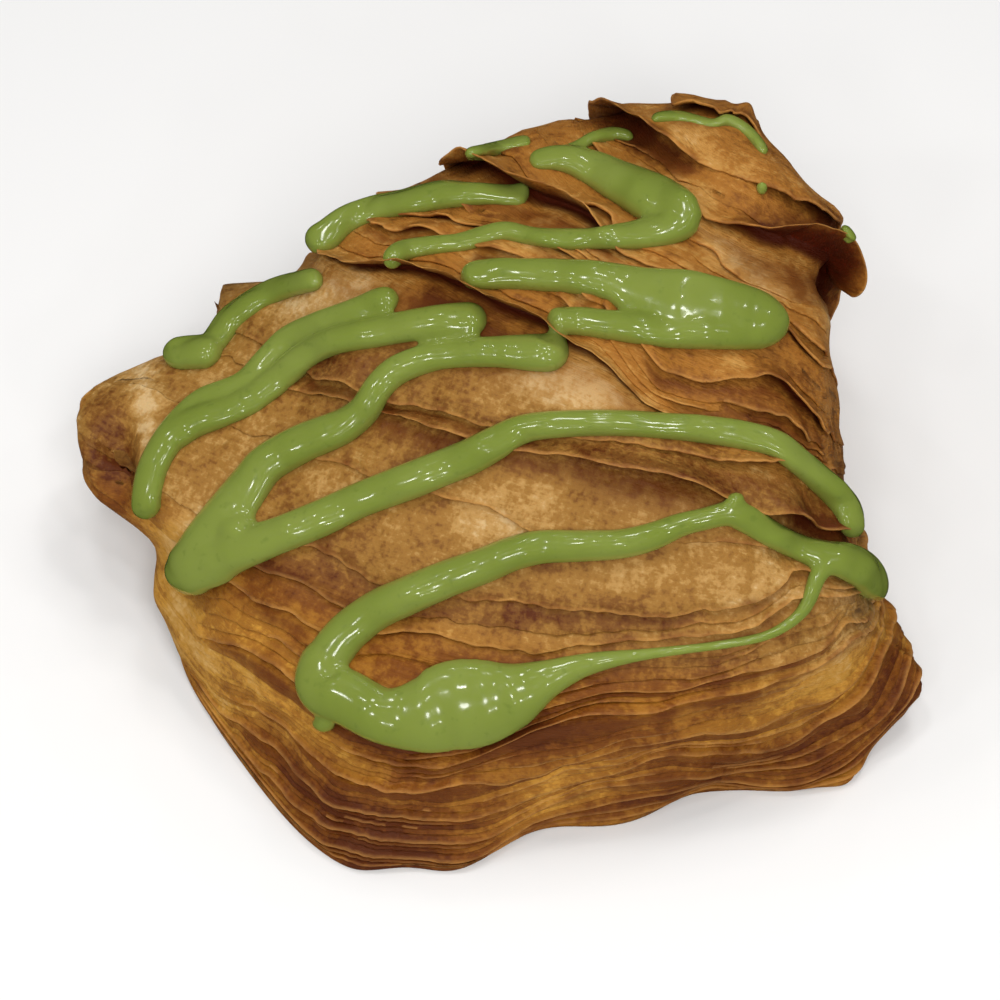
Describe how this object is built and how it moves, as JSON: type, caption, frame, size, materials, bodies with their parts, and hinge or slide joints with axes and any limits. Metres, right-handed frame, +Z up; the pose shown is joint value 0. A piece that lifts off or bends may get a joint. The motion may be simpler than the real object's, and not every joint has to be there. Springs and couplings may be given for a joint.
{
  "type": "sfogliatella",
  "caption": "Clam-shaped pastry of thin leaves that open like roof tiles from a pointed end to a wide mouth, with thick drizzle across it.",
  "frame": {"origin": "on the table under the middle of the pastry's bounding box", "axes": "+Z up, +X from the left ear to the right corner, +Y from the wide mouth towards the pointed end"},
  "size_m": [0.12, 0.1154, 0.0538],
  "materials": {
    "crust": "baked leaf pastry, honey gold with browned edges, dry and slightly glossy",
    "drizzle": "smooth glossy pistachio cream, pale green"
  },
  "bodies": {
    "root": {"sfogliatella": "crust"}
  },
  "joints": []
}
